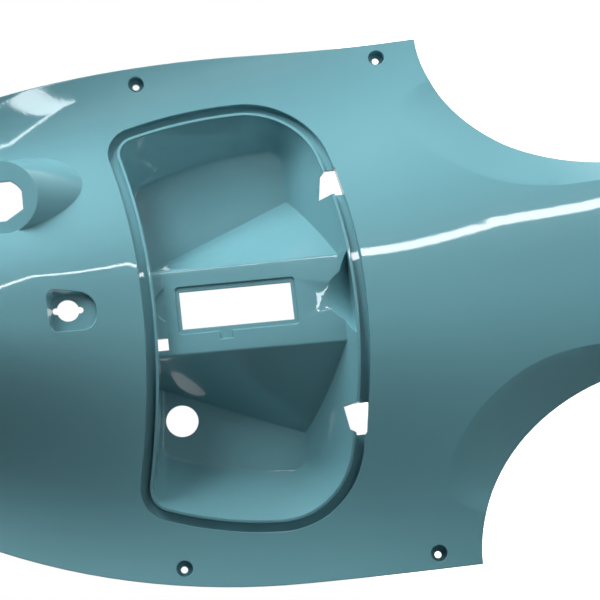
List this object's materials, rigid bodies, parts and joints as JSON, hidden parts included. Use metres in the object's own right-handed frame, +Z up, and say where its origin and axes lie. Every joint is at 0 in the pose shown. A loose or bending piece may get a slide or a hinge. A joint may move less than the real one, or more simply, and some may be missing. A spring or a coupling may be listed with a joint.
{
  "type": "scooter inner panel",
  "caption": "Curved inner leg panel of a scooter with an open two-pocket glovebox, hook recess and lock opening; screws to the frame at its edges.",
  "frame": {"origin": "middle of the lower pair of screw holes, on the plane where the back of their cups bears on the frame", "axes": "+Z up and +X to the rider's right as on the scooter; the painted face looks along -Y"},
  "size_m": [0.48, 0.1659, 0.725],
  "materials": {
    "panel": "glossy teal paint"
  },
  "bodies": {
    "root": {"inner_panel": "panel"}
  },
  "joints": []
}
